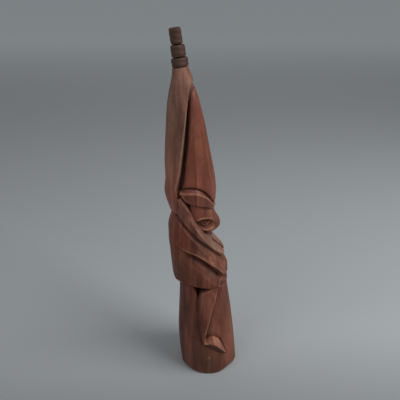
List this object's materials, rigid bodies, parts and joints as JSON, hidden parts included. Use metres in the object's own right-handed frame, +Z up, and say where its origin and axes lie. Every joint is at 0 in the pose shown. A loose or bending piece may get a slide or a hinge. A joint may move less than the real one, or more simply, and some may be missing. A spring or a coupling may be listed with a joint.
{
  "type": "carved ancestor figure",
  "caption": "Slender crouching hooded figure carved in red-brown hardwood on a round log foot, with a tall cone hat, long headcloth and beaded finial.",
  "frame": {"origin": "centre of the log's flat underside, on the surface that the figure stands on", "axes": "+Z up; +X is the way the figure faces; +Y is the figure's left; the plane y = 0 is its plane of symmetry; the figure leans a few degrees towards -X as it rises"},
  "size_m": [0.0812, 0.0678, 0.3814],
  "materials": {
    "body_wood": "hand-carved, oiled red-brown hardwood",
    "hat_wood": "smooth, softly polished red-brown hardwood",
    "cloth_wood": "dull, greyer brown hardwood with tool marks",
    "bead_wood": "dark maroon-brown, dull",
    "peg_wood": "plain pale dowel"
  },
  "bodies": {
    "root": {"log_base": "body_wood", "torso": "body_wood", "head": "body_wood", "hat_brim": "body_wood", "hat_cone": "hat_wood", "headcloth": "cloth_wood", "bead_lower": "bead_wood", "bead_middle": "bead_wood", "bead_top": "bead_wood", "finial_peg": "peg_wood", "right_leg": "body_wood", "right_arm": "body_wood", "right_cloth_tail": "cloth_wood", "left_leg": "body_wood", "left_arm": "body_wood", "left_cloth_tail": "cloth_wood"}
  },
  "joints": []
}
